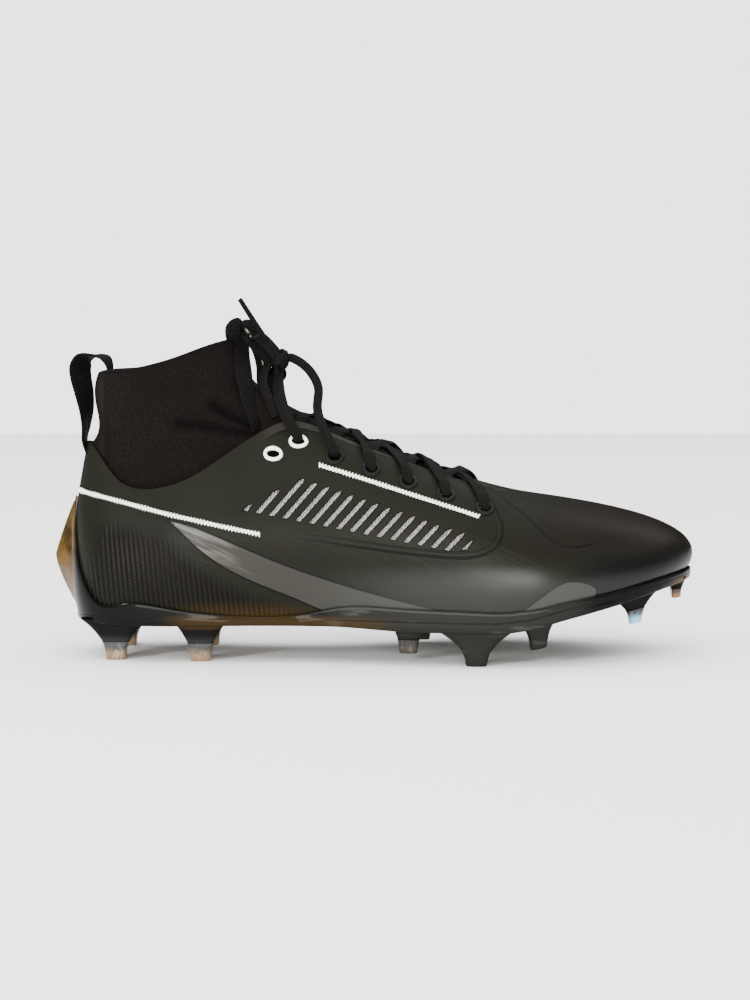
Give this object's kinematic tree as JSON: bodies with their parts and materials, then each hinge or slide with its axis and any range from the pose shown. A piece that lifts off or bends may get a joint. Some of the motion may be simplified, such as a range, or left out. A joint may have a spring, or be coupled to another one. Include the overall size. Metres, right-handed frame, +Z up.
{
  "type": "american football cleat",
  "caption": "Mid-height laced field shoe with a sock-like knit collar, slim moulded shell upper and a hard plate with conical and bladed studs for grip on grass.",
  "frame": {"origin": "on the ground at the middle of the shoe's length and width, under the studs", "axes": "+X from heel to toe, +Z up, -Y towards the outer side of the foot"},
  "size_m": [0.3066, 0.0979, 0.1694],
  "materials": {
    "upper_skin": "satin olive-black coated textile shell",
    "knit": "black ribbed knit",
    "plate": "dark grey moulded nylon",
    "insole_foam": "cloth-faced foam",
    "vent_mesh": "open grey mesh",
    "webbing": "ribbed black webbing",
    "white_eyelet": "white printed ring",
    "dark_eyelet": "dark printed ring",
    "heel_stud_tip": "milky tan polyurethane",
    "front_stud_tip": "smoky grey-brown polyurethane",
    "pale_stud_tip": "pale blue polyurethane",
    "amber_stud_tip": "amber polyurethane",
    "lace": "flat black woven lace"
  },
  "bodies": {
    "root": {"upper": "upper_skin", "knit_collar": "knit", "outsole_plate": "plate", "insole": "insole_foam", "vent_mesh_outer": "vent_mesh", "vent_mesh_inner": "vent_mesh", "heel_pull_loop": "webbing", "front_pull_loop": "webbing", "eyelet_outer_1": "white_eyelet", "eyelet_outer_2": "white_eyelet", "eyelet_outer_3": "dark_eyelet", "eyelet_outer_4": "dark_eyelet", "eyelet_outer_5": "dark_eyelet", "eyelet_outer_6": "dark_eyelet", "eyelet_outer_7": "dark_eyelet", "eyelet_inner_1": "white_eyelet", "eyelet_inner_2": "white_eyelet", "eyelet_inner_3": "dark_eyelet", "eyelet_inner_4": "dark_eyelet", "eyelet_inner_5": "dark_eyelet", "eyelet_inner_6": "dark_eyelet", "eyelet_inner_7": "dark_eyelet", "stud_tip_heel_outer_rear": "heel_stud_tip", "stud_tip_heel_outer_front": "heel_stud_tip", "stud_tip_heel_inner_rear": "heel_stud_tip", "stud_tip_heel_inner_front": "heel_stud_tip", "stud_tip_ball_outer_rear": "front_stud_tip", "stud_tip_ball_inner_rear": "front_stud_tip", "stud_tip_ball_inner": "front_stud_tip", "stud_tip_toe_outer": "pale_stud_tip", "stud_tip_toe_inner": "pale_stud_tip", "stud_tip_toe_tip": "amber_stud_tip", "lace_crossing_1": "lace", "lace_crossing_2": "lace", "lace_crossing_3": "lace", "lace_crossing_4": "lace", "lace_crossing_5": "lace", "lace_knot": "lace", "lace_arc_outer": "lace", "lace_rise_outer": "lace", "lace_rise_inner": "lace", "lace_end_up": "lace", "lace_end_down": "lace"}
  },
  "joints": []
}
